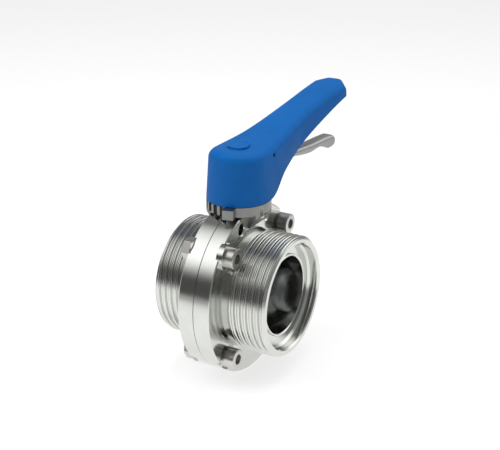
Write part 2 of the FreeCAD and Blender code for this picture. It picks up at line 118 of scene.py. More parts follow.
class ValveSizes(PropertyGroup):
    bore_radius: length("Bore radius", "Inside of the pipe", 25.0)
    half_length: length("Half length", "From the disc to the end face", 39.5)
    flange_radius: length("Flange radius", "Outside of the flange pair", 55.0)
    flange_thickness: length("Flange thickness", "One flange, from the split", 11.0)
    flange_chamfer: length("Flange chamfer", "Outer edge of the flange", 0.6)
    split_chamfer: length("Split chamfer", "Fine groove where the halves meet", 0.45)
    plate_seat_height: length("Top flat", "Flat on the flange pair under the notched plate", 53.5)
    thread_radius: length("Thread radius", "Over the crests", 39.0)
    neck_radius: length("Neck radius", "Relief between the thread and the flange", 36.9)
    root_radius: length("Root radius", "Under the thread", 36.95)
    thread_pitch: length("Thread pitch", "Six turns to the inch", 4.2333)
    relief_width: length("Relief width", "Plain neck beside the flange", 2.0)
    thread_chamfer: length("Thread chamfer", "Lead-in at the end face", 1.6)
    recess_radius: length("Recess radius", "Recess for the pipe liner", 33.9)
    recess_depth: length("Recess depth", "Depth of the recess", 7.0)
    recess_chamfer: length("Recess chamfer", "Edge of the recess", 0.8)
    lip_wall: length("Lip wall", "Thin ring round the bore", 1.7)
    lip_height: length("Lip height", "Height of the ring over the recess floor", 1.2)
    recess_corner: length("Recess corner", "Slope between the recess floor and its wall", 1.4)
    seal_radius: length("Seal groove radius", "Outside of the seat ring's groove", 31.05)
    seal_half_width: length("Seal half width", "Half of the seat ring's groove", 9.05)
    stem_pocket_radius: length("Stem pocket", "Bore of the stem bushes' housing", 10.05)
    pocket_depth: length("Pocket depth", "Blind end of the stem pocket", 49.0)
    bolt_circle_radius: length("Bolt circle", "Radius of the four bolts' circle", 47.8)
    bolt_hole_radius: length("Bolt hole", "Clearance hole of the bolts", 4.2)
    spot_face_radius: length("Spot face", "Round seat under each screw", 8.8)
    spot_face_depth: length("Spot face depth", "Depth of the seat", 2.0)
    bracket_hole_radius: length("Bracket hole", "Holes beside the neck", 3.3)
    bracket_hole_offset: length("Bracket hole offset", "From the stem axis", 15.3)
    bracket_hole_height: length("Bracket hole height", "Above the pipe axis", 44.9)
    bracket_countersink: length("Countersink", "Edge of the bracket holes", 0.9)
    screw_radius: length("Bolt radius", "Shank of the bolts", 4.0)
    screw_pitch: length("Bolt pitch", "Pitch of the bolts' thread", 1.25)
    head_radius: length("Bolt head radius", "Socket head of the bolts", 6.5)
    head_height: length("Bolt head height", "Socket head of the bolts", 8.0)
    socket_width: length("Bolt socket", "Width across the flats of the socket", 6.0)
    socket_depth: length("Bolt socket depth", "Depth of the socket", 4.5)
    spring_washer_radius: length("Spring washer radius", "Split ring under each head", 6.4)
    spring_washer_thickness: length("Spring washer thickness", "Split ring under each head", 2.0)
    flat_washer_radius: length("Flat washer radius", "Ring under each nut", 8.0)
    flat_washer_thickness: length("Flat washer thickness", "Ring under each nut", 1.6)
    nut_width: length("Nut width", "Across the flats", 13.0)
    nut_height: length("Nut height", "Hexagon nut", 6.5)
    lever_half_width: length("Trigger half width", "From the middle of the trigger to its side", 5.2)
    lever_rounding: length("Trigger rounding", "Height of the rounded edges of the trigger's back", 2.2)
    lever_lip: length("Trigger lip", "Width of the lip under the rounded back", 0.5)
    pin_sink: length("Pin sink", "Depth of the pin's ends in the handle's side walls", 2.6)
    soft_edge: length("Edge rounding", "Broken edges of the steel pieces", 0.25)
    bolt_count: IntProperty(name="Bolts", description="Bolts round the flange", default=4, min=2)
    round_steps: IntProperty(name="Round steps", description="Sides of turned pieces", default=144, min=48)


class ValveColours(PropertyGroup):
    polished: shade("Polished steel", "Turned and polished body", (0.66, 0.67, 0.64))
    # The disc's colour is painted dark: painted shade standing in for the shade inside the bore
    disc: shade("Disc steel", "Satin disc, its colour painted dark for the shade in the bore", (0.30, 0.31, 0.32))
    fastener: shade("Fastener steel", "Screws, washers and nuts", (0.62, 0.61, 0.58))
    cast: shade("Cast steel", "Notched plate and insert", (0.36, 0.36, 0.345))
    trigger: shade("Trigger steel", "Satin cast trigger", (0.62, 0.63, 0.62))
    moulding: shade("Blue moulding", "Handle and its cap", (0.002, 0.086, 0.30))
    rubber: shade("Rubber", "Seat ring and stem seals", (0.018, 0.018, 0.018))
    bearing: shade("Bearing plastic", "Stem bushes", (0.75, 0.74, 0.69))
    floor: shade("Floor", "Plain pale floor", (0.93, 0.93, 0.93))


class StudioSettings(PropertyGroup):
    camera_turn: FloatProperty(name="Turn", description="Round the stem", default=29.95)
    camera_rise: FloatProperty(name="Rise", description="Above the pipe", default=21.5)
    camera_distance: length("Distance", "From the aim point to the lens", 646.5)
    aim_right: length("Aim right", "Aim point right of the disc, in the picture's plane", 6.91)
    aim_up: length("Aim up", "Aim point above the disc, in the picture's plane", 37.95)
    lens: plain_number("Lens", "Focal length for a 36 mm sensor", 72.17)
    world: plain_number("World", "Strength of the even light from all round", 0.42)
    room_mirrored: plain_number("Room", "Far side of the room, as the steel mirrors it", 0.34)
    dark_mirrored: plain_number("Dark side", "Dark near side of the room, as the steel mirrors it", 0.09)
    key_mirrored: plain_number("Key", "Soft box at the front left, as the steel mirrors it", 1.5)
    key_spread: plain_number("Key spread", "Reach of that soft box in degrees", 38)
    back_mirrored: plain_number("Back", "Soft box at the back right, as the steel mirrors it", 1.3)
    back_spread: plain_number("Back spread", "Reach of that soft box in degrees", 28)


def deselect():
    if bpy.context.object and bpy.context.object.mode != "OBJECT":
        bpy.ops.object.mode_set(mode="OBJECT")
    bpy.ops.object.select_all(action="DESELECT")


def pick(piece):
    deselect()
    piece.select_set(True)
    bpy.context.view_layer.objects.active = piece


def edit(piece):
    """Edit mode with everything selected."""
    pick(piece)
    bpy.ops.object.mode_set(mode="EDIT")
    bpy.ops.mesh.select_mode(type="VERT")
    bpy.ops.mesh.select_all(action="SELECT")


def leave_edit():
    bpy.ops.object.mode_set(mode="OBJECT")


def settle(piece):
    """Move the place, turn and scale of a piece into its mesh."""
    pick(piece)
    bpy.ops.object.transform_apply(location=True, rotation=True, scale=True)
    return piece


def clean(piece, gap=1e-6):
    edit(piece)
    bpy.ops.mesh.remove_doubles(threshold=gap)
    bpy.ops.mesh.normals_make_consistent(inside=False)
    leave_edit()
    return piece


def strips_filled(piece):
    """Fill the narrow strips that a run of cuts leaves open."""
    clean(piece)
    edit(piece)
    bpy.ops.mesh.select_all(action="DESELECT")
    bpy.ops.mesh.select_mode(type="EDGE")
    bpy.ops.mesh.select_non_manifold(
        extend=False, use_wire=False, use_multi_face=False, use_non_contiguous=False, use_verts=False
    )
    bpy.ops.mesh.fill_holes(sides=MOST_STRIP_EDGES)
    bpy.ops.mesh.select_all(action="SELECT")
    bpy.ops.mesh.normals_make_consistent(inside=False)
    leave_edit()
    return piece


def draw_line(name, points, closed=False):
    """Draw an outline by extruding one point from corner to corner."""
    deselect()
    bpy.ops.mesh.primitive_plane_add(size=MM, location=points[0])
    piece = settle(bpy.context.object)
    piece.name = name
    edit(piece)
    bpy.ops.mesh.merge(type="CENTER")
    stops = list(points) + ([points[0]] if closed else [])
    for first, second in zip(stops, stops[1:]):
        step = Vector(second) - Vector(first)
        bpy.ops.mesh.extrude_vertices_move(TRANSFORM_OT_translate={"value": step})
    bpy.ops.mesh.select_all(action="SELECT")
    bpy.ops.mesh.remove_doubles(threshold=1e-7)
    leave_edit()
    return piece


def turned_piece(name, outline, steps, axis=PIPE, centre=ORIGIN):
    """Spin a closed outline of (along, out) points about an axis."""
    out = STEM if axis == PIPE else PIPE
    corners = [centre + axis * along + out * reach for along, reach in outline]
    piece = draw_line(name, corners, closed=True)
    edit(piece)
    bpy.ops.mesh.spin(steps=steps, angle=FULL_TURN, use_auto_merge=True, center=centre, axis=axis)
    leave_edit()
    return clean(piece)


def rod(name, radius, low, high, axis=PIPE, centre=ORIGIN, sides=64):
    """A round or many-sided bar between two stations of an axis."""
    turn = (0, math.pi / 2, 0) if axis == PIPE else (0, 0, 0)
    place = centre + axis * ((low + high) / 2)
    deselect()
    bpy.ops.mesh.primitive_cylinder_add(
        vertices=sides, radius=radius, depth=high - low, location=place, rotation=turn
    )
    piece = bpy.context.object
    piece.name = name
    return settle(piece)


def box_piece(name, low, high):
    low, high = Vector(low), Vector(high)
    deselect()
    bpy.ops.mesh.primitive_cube_add(size=1, location=(low + high) / 2)
    piece = bpy.context.object
    piece.name = name
    piece.scale = high - low
    return settle(piece)


def apply(piece, name, kind, **settings):
    pick(piece)
    modifier = piece.modifiers.new(name, kind)
    for key, value in settings.items():
        setattr(modifier, key, value)
    bpy.ops.object.modifier_apply(modifier=name)
    return piece


def combine(piece, tool, operation):
    apply(piece, "Boolean", "BOOLEAN", object=tool, operation=operation, solver="EXACT")
    bpy.data.objects.remove(tool)
    return piece


def cut(piece, *tools):
    for tool in tools:
        combine(piece, tool, "DIFFERENCE")
    return piece


def round_edges(piece, width, segments=2, angle=35):
    return apply(
        piece, "Bevel", "BEVEL", width=width, segments=segments, limit_method="ANGLE",
        angle_limit=math.radians(angle), harden_normals=False, miter_outer="MITER_ARC",
    )


def copied(piece, name):
    twin = bpy.data.objects.new(name, piece.data.copy())
    bpy.context.scene.collection.objects.link(twin)
    return twin


def joined(name, pieces):
    deselect()
    for piece in pieces:
        piece.select_set(True)
    bpy.context.view_layer.objects.active = pieces[0]
    bpy.ops.object.join()
    pieces[0].name = name
    return pieces[0]


def shift(piece, offset):
    piece.location = offset
    return settle(piece)


def turn(piece, angle, axis=STEM):
    """Turn a piece about an axis through the origin."""
    piece.rotation_mode = "AXIS_ANGLE"
    piece.rotation_axis_angle = (angle, *axis)
    settle(piece)
    piece.rotation_mode = "XYZ"
    return piece


def dress(piece, body, material, nodes, angle=32):
    """Shade a finished piece, give it its material and let it stand for its nodes."""
    pick(piece)
    bpy.ops.object.shade_smooth_by_angle(angle=math.radians(angle))
    apply(piece, "Normals", "WEIGHTED_NORMAL", keep_sharp=True, weight=60)
    piece.data.materials.clear()
    piece.data.materials.append(material)
    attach(piece, body)
    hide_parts(*nodes)
    return piece


def dress_node(node, material):
    """Give a node that keeps its own shape a finished material."""
    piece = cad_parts[node]
    if not piece.material_slots:
        piece.data.materials.append(material)
    for holder in piece.material_slots:
        holder.material = material


def traced(node, name):
    """A merged copy of a node's shape, with its flat faces made whole."""
    piece = copied(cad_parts[node], name)
    edit(piece)
    bpy.ops.mesh.remove_doubles(threshold=2e-6)
    bpy.ops.mesh.dissolve_limited(angle_limit=math.radians(0.6))
    leave_edit()
    return piece


def bolt_places(sizes):
    """Bolt axes in the plane of the disc."""
    places = []
    for index in range(sizes.bolt_count):
        angle = FULL_TURN * (index + 0.5) / sizes.bolt_count
        places.append(sizes.bolt_circle_radius * Vector((0, math.cos(angle), math.sin(angle))))
    return places


def at_bolts(piece, name, sizes):
    pieces = [shift(copied(piece, name), place) for place in bolt_places(sizes)]
    bpy.data.objects.remove(piece)
    return joined(name, pieces)


def shared_group(name, inputs, outputs):
    """An empty shader node group with named sockets, its start node and its end node."""
    tree = bpy.data.node_groups.new(name, "ShaderNodeTree")
    for label, value in inputs:
        socket = tree.interface.new_socket(name=label, in_out="INPUT", socket_type="NodeSocketFloat")
        socket.default_value = value
    for label in outputs:
        tree.interface.new_socket(name=label, in_out="OUTPUT", socket_type="NodeSocketFloat")
    start = tree.nodes.new("NodeGroupInput")
    finish = tree.nodes.new("NodeGroupOutput")
    return tree, start, finish


def turning_marks():
    """Fine lines left by a lathe, round the pipe axis on every face."""
    if "Turning marks" in bpy.data.node_groups:
        return bpy.data.node_groups["Turning marks"]
    tree, start, finish = shared_group(
        "Turning marks", [("Lines per mm", 3.0), ("Sweep", 2.0)], ["Height"]
    )
    nodes, links = tree.nodes, tree.links
    place = nodes.new("ShaderNodeTexCoord")
    parts = nodes.new("ShaderNodeSeparateXYZ")
    links.new(place.outputs["Object"], parts.inputs[0])
    flat = nodes.new("ShaderNodeCombineXYZ")
    links.new(parts.outputs["Y"], flat.inputs["Y"])
    links.new(parts.outputs["Z"], flat.inputs["Z"])
    reach = nodes.new("ShaderNodeVectorMath")
    reach.operation = "LENGTH"
    links.new(flat.outputs[0], reach.inputs[0])
    density = computed(nodes, links, "MULTIPLY", start.outputs["Lines per mm"], 1 / MM)
    along = computed(nodes, links, "MULTIPLY", parts.outputs["X"], density)
    out = computed(nodes, links, "MULTIPLY", reach.outputs["Value"], density)
    around = computed(nodes, links, "ARCTAN2", parts.outputs["Y"], parts.outputs["Z"])
    swept = computed(nodes, links, "MULTIPLY", around, start.outputs["Sweep"])
    spot = nodes.new("ShaderNodeCombineXYZ")
    links.new(along, spot.inputs["X"])
    links.new(out, spot.inputs["Y"])
    links.new(swept, spot.inputs["Z"])
    noise = nodes.new("ShaderNodeTexNoise")
    noise.inputs["Scale"].default_value = 1.0
    noise.inputs["Detail"].default_value = 3.0
    noise.inputs["Roughness"].default_value = 0.6
    links.new(spot.outputs[0], noise.inputs["Vector"])
    links.new(noise.outputs["Fac"], finish.inputs["Height"])
    return tree


def grain():
    """Even fine relief of cast metal, moulded plastic or rubber."""
    if "Grain" in bpy.data.node_groups:
        return bpy.data.node_groups["Grain"]
    tree, start, finish = shared_group(
        "Grain", [("Grain size in mm", 0.4), ("Softness", 0.5)], ["Height", "Mask"]
    )
    nodes, links = tree.nodes, tree.links
    place = nodes.new("ShaderNodeTexCoord")
    scale = computed(nodes, links, "DIVIDE", 1 / MM, start.outputs["Grain size in mm"])
    noise = nodes.new("ShaderNodeTexNoise")
    noise.inputs["Detail"].default_value = 4.0
    links.new(place.outputs["Object"], noise.inputs["Vector"])
    links.new(scale, noise.inputs["Scale"])
    links.new(start.outputs["Softness"], noise.inputs["Roughness"])
    pits = nodes.new("ShaderNodeMapRange")
    pits.inputs["From Min"].default_value = 0.35
    pits.inputs["From Max"].default_value = 0.65
    links.new(noise.outputs["Fac"], pits.inputs["Value"])
    links.new(noise.outputs["Fac"], finish.inputs["Height"])
    links.new(pits.outputs["Result"], finish.inputs["Mask"])
    return tree


def handling():
    """Broad soft patches of rubbed and dull surface."""
    if "Handling" in bpy.data.node_groups:
        return bpy.data.node_groups["Handling"]
    tree, start, finish = shared_group("Handling", [("Patch size in mm", 14.0)], ["Patches"])
    nodes, links = tree.nodes, tree.links
    place = nodes.new("ShaderNodeTexCoord")
    scale = computed(nodes, links, "DIVIDE", 1 / MM, start.outputs["Patch size in mm"])
    noise = nodes.new("ShaderNodeTexNoise")
    noise.inputs["Detail"].default_value = 5.0
    noise.inputs["Roughness"].default_value = 0.62
    noise.inputs["Distortion"].default_value = 0.4
    links.new(place.outputs["Object"], noise.inputs["Vector"])
    links.new(scale, noise.inputs["Scale"])
    spread = nodes.new("ShaderNodeMapRange")
    spread.inputs["From Min"].default_value = 0.3
    spread.inputs["From Max"].default_value = 0.7
    links.new(noise.outputs["Fac"], spread.inputs["Value"])
    links.new(spread.outputs["Result"], finish.inputs["Patches"])
    return tree


def feed(links, value, socket):
    """Set a socket to a constant, or link it to another socket."""
    if isinstance(value, float):
        socket.default_value = value
    else:
        links.new(value, socket)


def computed(nodes, links, operation, first, second):
    """A number worked out from two others, each a constant or a socket."""
    node = nodes.new("ShaderNodeMath")
    node.operation = operation
    feed(links, first, node.inputs[0])
    feed(links, second, node.inputs[1])
    return node.outputs[0]


def use_group(material, tree, **values):
    node = material.node_tree.nodes.new("ShaderNodeGroup")
    node.node_tree = tree
    for label, value in values.items():
        node.inputs[label.replace("_", " ")].default_value = value
    return node


def tinted(material, mask, first, second, socket):
    """Feed a colour socket with a blend of two colours, by a mask."""
    nodes, links = material.node_tree.nodes, material.node_tree.links
    blend = nodes.new("ShaderNodeMix")
    blend.data_type = "RGBA"
    blend.inputs["A"].default_value = (*first, 1)
    blend.inputs["B"].default_value = (*second, 1)
    links.new(mask, blend.inputs["Factor"])
    links.new(blend.outputs["Result"], socket)


def ranged(material, mask, low, high, socket):
    """Feed a number socket with a mask spread between two values."""
    nodes, links = material.node_tree.nodes, material.node_tree.links
    spread = nodes.new("ShaderNodeMapRange")
    spread.inputs["To Min"].default_value = low
    spread.inputs["To Max"].default_value = high
    links.new(mask, spread.inputs["Value"])
    links.new(spread.outputs["Result"], socket)


def raised(material, height, distance, strength, socket):
    nodes, links = material.node_tree.nodes, material.node_tree.links
    bump = nodes.new("ShaderNodeBump")
    bump.inputs["Distance"].default_value = distance
    bump.inputs["Strength"].default_value = strength
    links.new(height, bump.inputs["Height"])
    links.new(bump.outputs["Normal"], socket)


def new_material(name):
    material = bpy.data.materials.new(name)
    material.use_nodes = True
    return material, material.node_tree.nodes["Principled BSDF"]


def darker(colour, share):
    return tuple(channel * share for channel in colour)


def turned_steel(name, colour, roughness, relief):
    """Bright steel with lathe marks round the pipe axis and faint handling patches."""
    if name in bpy.data.materials:
        return bpy.data.materials[name]
    material, shader = new_material(name)
    marks = use_group(material, turning_marks(), Lines_per_mm=2.6, Sweep=1.5)
    patches = use_group(material, handling(), Patch_size_in_mm=16.0)
    shader.inputs["Metallic"].default_value = 1.0
    tinted(material, patches.outputs["Patches"], colour, darker(colour, 0.93), shader.inputs["Base Color"])
    dull = patches.outputs["Patches"]
    ranged(material, dull, roughness * 0.8, roughness * 1.3, shader.inputs["Roughness"])
    raised(material, marks.outputs["Height"], relief, 0.25, shader.inputs["Normal"])
    return material


def grained_steel(name, colour, roughness, size, relief):
    """Duller steel with an even grain, as cast or as rolled."""
    if name in bpy.data.materials:
        return bpy.data.materials[name]
    material, shader = new_material(name)
    texture = use_group(material, grain(), Grain_size_in_mm=size, Softness=0.6)
    patches = use_group(material, handling(), Patch_size_in_mm=9.0)
    shader.inputs["Metallic"].default_value = 1.0
    tinted(material, texture.outputs["Mask"], darker(colour, 0.86), colour, shader.inputs["Base Color"])
    dull = patches.outputs["Patches"]
    ranged(material, dull, roughness * 0.85, roughness * 1.2, shader.inputs["Roughness"])
    raised(material, texture.outputs["Height"], relief, 0.7, shader.inputs["Normal"])
    return material


def moulded(name, colour, roughness, size, relief, gloss=0.5):
    """Plastic or rubber with a fine moulded grain."""
    if name in bpy.data.materials:
        return bpy.data.materials[name]
    material, shader = new_material(name)
    shader.inputs["Specular IOR Level"].default_value = gloss
    texture = use_group(material, grain(), Grain_size_in_mm=size, Softness=0.5)
    patches = use_group(material, handling(), Patch_size_in_mm=22.0)
    tinted(material, patches.outputs["Patches"], colour, darker(colour, 0.9), shader.inputs["Base Color"])
    dull = patches.outputs["Patches"]
    ranged(material, dull, roughness * 0.92, roughness * 1.1, shader.inputs["Roughness"])
    raised(material, texture.outputs["Height"], relief, 0.5, shader.inputs["Normal"])
    return material


def polished_steel():
    return turned_steel("Polished steel", bpy.context.scene.valve_colours.polished, 0.13, 0.004 * MM)


# Steel painted dark, as painted shade of the bore on the disc
def disc_steel_painted_dark():
    return turned_steel("Disc steel", bpy.context.scene.valve_colours.disc, 0.34, 0.004 * MM)


def fastener_steel():
    return grained_steel("Fastener steel", bpy.context.scene.valve_colours.fastener, 0.3, 0.5, 0.01 * MM)


def cast_steel():
    return grained_steel("Cast steel", bpy.context.scene.valve_colours.cast, 0.42, 0.55, 0.05 * MM)


def trigger_steel():
    return grained_steel("Trigger steel", bpy.context.scene.valve_colours.trigger, 0.4, 0.5, 0.03 * MM)


def blue_moulding():
    return moulded("Blue moulding", bpy.context.scene.valve_colours.moulding, 0.52, 0.3, 0.03 * MM, 0.12)


def seal_rubber():
    return moulded("Seal rubber", bpy.context.scene.valve_colours.rubber, 0.62, 0.25, 0.02 * MM)


def bearing_plastic():
    return moulded("Bearing plastic", bpy.context.scene.valve_colours.bearing, 0.45, 0.3, 0.01 * MM)


def round_thread_section(pitch, root, crest):
    """One turn of a rounded thread, from root to root, as (along, out) points."""
    corner = 0.23851 * pitch
    flank = math.radians(15)
    steps = 8
    section = []
    for step in range(steps // 2 + 1):
        angle = (math.pi / 2 - flank) * step * 2 / steps
        section.append((corner * math.sin(angle), root + corner - corner * math.cos(angle)))
    for step in range(steps + 1):
        angle = (math.pi / 2 - flank) * (step * 2 / steps - 1)
        section.append((pitch / 2 + corner * math.sin(angle), crest - corner + corner * math.cos(angle)))
    for step in range(steps // 2 + 1):
        angle = (math.pi / 2 - flank) * (step * 2 / steps - 1)
        section.append((pitch + corner * math.sin(angle), root + corner - corner * math.cos(angle)))
    return section


def sharp_thread_section(pitch, root, crest):
    """One turn of a metric thread with a flat crest and a flat root."""
    return [
        (0, root),
        (pitch / 8, root),
        (pitch / 2, crest),
        (pitch * 5 / 8, crest),
        (pitch, root),
    ]


def threaded_rod(name, section, pitch, low, high, steps):
    """A solid bar with a true right-handed thread, cut square at both stations."""
    start = low - pitch
    turns = math.ceil((high - low) / pitch) + 2
    piece = draw_line(name, [Vector((start + along, 0, out)) for along, out in section])
    apply(
        piece, "Thread", "SCREW", axis="X", angle=FULL_TURN, screw_offset=pitch, iterations=turns,
        steps=steps, render_steps=steps, use_merge_vertices=False,
    )
    edit(piece)
    bpy.ops.mesh.remove_doubles(threshold=1e-6)
    bpy.ops.mesh.bisect(plane_co=(low, 0, 0), plane_no=(-1, 0, 0), use_fill=True, clear_outer=True)
    bpy.ops.mesh.select_all(action="SELECT")
    bpy.ops.mesh.bisect(plane_co=(high, 0, 0), plane_no=(1, 0, 0), use_fill=True, clear_outer=True)
    bpy.ops.mesh.select_all(action="SELECT")
    bpy.ops.mesh.normals_make_consistent(inside=False)
    leave_edit()
    return piece


def threaded_neck(sizes):
    """The thread of one end, faded into its relief and its lead-in."""
    low = sizes.flange_thickness - sizes.relief_width / 2
    rise = sizes.thread_radius - sizes.neck_radius
    section = round_thread_section(sizes.thread_pitch, sizes.root_radius, sizes.thread_radius)
    high = sizes.half_length + sizes.thread_pitch / 4
    neck = threaded_rod("neck", section, sizes.thread_pitch, low, high, sizes.round_steps)
    relief_end = sizes.flange_thickness + sizes.relief_width
    envelope = turned_piece("envelope", [
        (low - MM, 0),
        (low - MM, sizes.neck_radius),
        (relief_end, sizes.neck_radius),
        (relief_end + rise, sizes.thread_radius + 0.1 * MM),
        (sizes.half_length - sizes.thread_chamfer, sizes.thread_radius + 0.1 * MM),
        (sizes.half_length, sizes.thread_radius - sizes.thread_chamfer),
        (sizes.half_length, 0),
    ], sizes.round_steps)
    return combine(neck, envelope, "INTERSECT")


def flange_blank(sizes):
    """One flange with its broken edges, flat top, bolt seats and bracket holes."""
    thickness = sizes.flange_thickness
    chamfer = sizes.flange_chamfer
    split = sizes.split_chamfer
    flange = turned_piece("flange", [
        (0, 0),
        (0, sizes.flange_radius - split),
        (split * 0.6, sizes.flange_radius),
        (thickness - chamfer, sizes.flange_radius),
        (thickness, sizes.flange_radius - chamfer),
        (thickness, 0),
    ], sizes.round_steps)
    past = sizes.flange_radius * 0.1
    top = sizes.plate_seat_height
    cut(flange, box_piece(
        "flat", (-past, -sizes.flange_radius, top), (thickness + past, sizes.flange_radius, top + 2 * past)
    ))
    for place in bolt_places(sizes):
        seat = thickness - sizes.spot_face_depth
        cut(flange, rod("seat", sizes.spot_face_radius, seat, thickness + past, centre=place, sides=72))
        cut(flange, rod("hole", sizes.bolt_hole_radius, -past, thickness + past, centre=place))
    for side in (-1, 1):
        place = Vector((0, side * sizes.bracket_hole_offset, sizes.bracket_hole_height))
        sunk = sizes.bracket_countersink
        cut(flange, turned_piece("hole", [
            (-past, 0),
            (-past, sizes.bracket_hole_radius),
            (thickness - sunk, sizes.bracket_hole_radius),
            (thickness + sunk, sizes.bracket_hole_radius + 2 * sunk),
            (thickness + sunk, 0),
        ], 64, centre=place))
    return flange


def body_half(sizes):
    flange = flange_blank(sizes)
    round_edges(flange, sizes.soft_edge, 2, 40)
    body = combine(flange, threaded_neck(sizes), "UNION")
    thickness = sizes.flange_thickness
    past = sizes.flange_radius * 0.1
    for place in bolt_places(sizes):
        seat = thickness - sizes.spot_face_depth
        high = thickness + sizes.relief_width
        cut(body, rod("scoop", sizes.spot_face_radius, seat, high, centre=place, sides=72))
    floor = sizes.half_length - sizes.recess_depth
    lip = sizes.bore_radius + sizes.lip_wall
    fillet = 0.4 * MM
    inside = turned_piece("inside", [
        (-past, 0),
        (-past, sizes.seal_radius),
        (sizes.seal_half_width, sizes.seal_radius),
        (sizes.seal_half_width, sizes.bore_radius),
        (floor + sizes.lip_height - fillet, sizes.bore_radius),
        (floor + sizes.lip_height, sizes.bore_radius + fillet),
        (floor + sizes.lip_height, lip - fillet),
        (floor + sizes.lip_height - fillet, lip),
        (floor, lip),
        (floor, sizes.recess_radius - sizes.recess_corner),
        (floor + sizes.recess_corner, sizes.recess_radius),
        (sizes.half_length - sizes.recess_chamfer, sizes.recess_radius),
        (sizes.half_length + MM, sizes.recess_radius + sizes.recess_chamfer + MM),
        (sizes.half_length + MM, 0),
    ], sizes.round_steps)
    cut(body, inside)
    pocket = rod("pocket", sizes.stem_pocket_radius, -sizes.pocket_depth, sizes.flange_radius + past, STEM)
    cut(body, pocket)
    return strips_filled(body)


def socket_head_screw(sizes):
    """Screw with a rounded head, a hexagon socket and a thread that shows past the nut."""
    seat = sizes.flange_thickness - sizes.spot_face_depth + sizes.spring_washer_thickness
    top = seat + sizes.head_height
    nut_face = sizes.flange_thickness - sizes.spot_face_depth + sizes.flat_washer_thickness + sizes.nut_height
    tip = -nut_face - 2 * MM
    head = turned_piece("head", [
        (seat, 0),
        (seat, sizes.head_radius - 0.3 * MM),
        (seat + 0.3 * MM, sizes.head_radius),
        (top - 0.8 * MM, sizes.head_radius),
        (top - 0.23 * MM, sizes.head_radius - 0.23 * MM),
        (top, sizes.head_radius - 0.8 * MM),
        (top, 0),
    ], 72)
    socket = rod("socket", sizes.socket_width / math.sqrt(3), top - sizes.socket_depth, top + MM, sides=6)
    lead = rod("lead", sizes.socket_width / 2 * 1.12, top - 0.35 * MM, top + MM, sides=48)
    cut(head, socket, lead)
    round_edges(head, 0.12 * MM, 2, 40)
    root = sizes.screw_radius - 0.61 * sizes.screw_pitch
    section = sharp_thread_section(sizes.screw_pitch, root, sizes.screw_radius - 0.02 * MM)
    thread_end = -sizes.flange_thickness + sizes.spot_face_depth
    thread = threaded_rod("tip", section, sizes.screw_pitch, tip, thread_end, 48)
    point = turned_piece("point", [
        (tip, 0),
        (tip, root),
        (tip + sizes.screw_radius - root, sizes.screw_radius + 0.1 * MM),
        (thread_end, sizes.screw_radius + 0.1 * MM),
        (thread_end, 0),
    ], 48)
    combine(thread, point, "INTERSECT")
    shank = rod("shank", sizes.screw_radius - 0.02 * MM, thread_end, seat)
    return joined("screw", [head, shank, thread])


def split_ring(sizes):
    """Spring washer, cut through with a small gap."""
    low = sizes.flange_thickness - sizes.spot_face_depth
    wall = sizes.spring_washer_radius - sizes.bolt_hole_radius
    high = low + sizes.spring_washer_thickness
    section = [
        Vector((low, 0, sizes.bolt_hole_radius)),
        Vector((high, 0, sizes.bolt_hole_radius)),
        Vector((high, 0, sizes.bolt_hole_radius + wall)),
        Vector((low, 0, sizes.bolt_hole_radius + wall)),
    ]
    piece = draw_line("split_ring", section, closed=True)
    edit(piece)
    bpy.ops.mesh.edge_face_add()
    gap = math.radians(14)
    bpy.ops.mesh.spin(steps=60, angle=FULL_TURN - gap, center=ORIGIN, axis=PIPE)
    leave_edit()
    clean(piece)
    turn(piece, math.radians(-60), PIPE)
    return round_edges(piece, 0.2 * MM, 2, 40)


def flat_ring(sizes):
    face = -sizes.flange_thickness + sizes.spot_face_depth
    low = face - sizes.flat_washer_thickness
    ring = turned_piece("flat_ring", [
        (low, sizes.bolt_hole_radius),
        (face, sizes.bolt_hole_radius),
        (face, sizes.flat_washer_radius),
        (low, sizes.flat_washer_radius),
    ], 72)
    return round_edges(ring, 0.15 * MM, 2, 40)


def hexagon_nut(sizes):
    """Nut with its corners turned off on both faces and a chamfered hole."""
    seat = -sizes.flange_thickness + sizes.spot_face_depth - sizes.flat_washer_thickness
    low = seat - sizes.nut_height
    corner = sizes.nut_width / math.sqrt(3)
    nut = rod("nut", corner, low, seat, sides=6)
    inner = sizes.nut_width / 2 * 0.97
    rise = (corner - inner) * math.tan(math.radians(30))
    crown = turned_piece("crown", [
        (low, 0),
        (low, inner),
        (low + rise + 0.1 * MM, corner + 0.15 * MM),
        (seat - rise - 0.1 * MM, corner + 0.15 * MM),
        (seat, inner),
        (seat, 0),
    ], 96)
    combine(nut, crown, "INTERSECT")
    hole = sizes.screw_radius + 0.02 * MM
    mouth = 0.5 * MM
    cut(nut, turned_piece("mouth", [
        (low - mouth, 0),
        (low - mouth, hole + 2 * mouth),
        (low + mouth, hole),
        (seat - mouth, hole),
        (seat + mouth, hole + 2 * mouth),
        (seat + mouth, 0),
    ], 64))
    return round_edges(nut, 0.1 * MM, 2, 28)


class VALVE_OT_body_halves(Operator):
    """Turn both halves with their round threads, recesses, bolt seats and holes"""
    bl_idname = "valve.body_halves"
    bl_label = "Body halves"

    def execute(self, context):
        sizes = context.scene.valve_sizes
        front = body_half(sizes)
        front.name = "front_half"
        rear = turn(copied(front, "rear_half"), math.pi)
        dress(front, BODY, polished_steel(), ["front_body"])
        dress(rear, BODY, polished_steel(), ["rear_body"])
        return {"FINISHED"}


